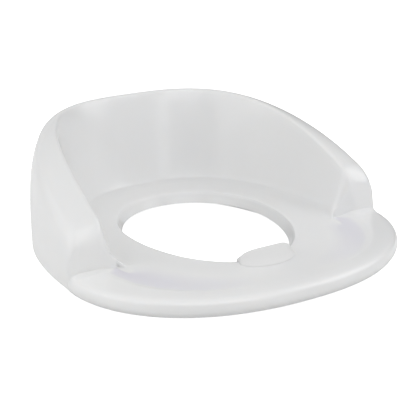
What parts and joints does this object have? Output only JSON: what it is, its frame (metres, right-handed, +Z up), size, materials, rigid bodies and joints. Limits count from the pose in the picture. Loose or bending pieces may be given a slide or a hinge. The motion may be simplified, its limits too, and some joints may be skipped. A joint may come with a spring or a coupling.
{
  "type": "child's toilet support seat",
  "caption": "Moulded child's toilet support seat with wrap-round back and arms, lift-out splash guard and a knob-driven rack adjuster under the front that grips the adult toilet seat.",
  "frame": {"origin": "centre of the bounding box in plan, on the plane of the foot of the locating skirt, which is what the seat stands on when it is off the toilet", "axes": "+X to the right seen from the front, -Y to the front where the splash guard is, +Z up"},
  "size_m": [0.3344, 0.3306, 0.1215],
  "materials": {
    "seat_polymer": "pearl white, satin gloss",
    "guard_polymer": "pearl white, slightly warm, gloss",
    "frame_polymer": "fine moulded texture",
    "soft_grip": "matt soft elastomer",
    "fastener_steel": "satin"
  },
  "bodies": {
    "seat": {"base_frame": "frame_polymer", "cover_screw_left": "fastener_steel", "cover_screw_right": "fastener_steel", "detent_spring": "fastener_steel", "frame_screw_1": "fastener_steel", "frame_screw_2": "fastener_steel", "frame_screw_3": "fastener_steel", "frame_screw_4": "fastener_steel", "frame_screw_5": "fastener_steel", "frame_screw_6": "fastener_steel", "grip_pad_front_left": "soft_grip", "grip_pad_front_right": "soft_grip", "grip_pad_rear_left": "soft_grip", "grip_pad_rear_right": "soft_grip", "guide_cover": "frame_polymer", "seat_shell": "seat_polymer", "skirt_bumper_left": "soft_grip", "skirt_bumper_right": "soft_grip"},
    "knob": {"pinion_shaft": "frame_polymer", "adjuster_knob": "soft_grip", "knob_washer": "fastener_steel", "knob_screw": "fastener_steel"},
    "yoke": {"adjuster_yoke": "frame_polymer", "foot_shoe_left": "soft_grip", "foot_shoe_right": "soft_grip"},
    "guard": {"splash_guard": "guard_polymer"}
  },
  "joints": [
    {"name": "knob_turn", "type": "hinge", "parent": "seat", "child": "knob", "pos_m": [0, -0.1345, 0.01], "axis": [0, 0, -1], "range_deg": [0, 206]},
    {"name": "yoke_slide", "type": "slide", "parent": "seat", "child": "yoke", "axis": [0, -1, 0], "range_m": [0, 0.018]},
    {"name": "guard_lift", "type": "slide", "parent": "seat", "child": "guard", "axis": [0, 0, 1], "range_m": [0, 0.025]}
  ],
  "couplings": [
    {"joint": "yoke_slide", "follows": "knob_turn", "m_per_rad": 0.005}
  ]
}
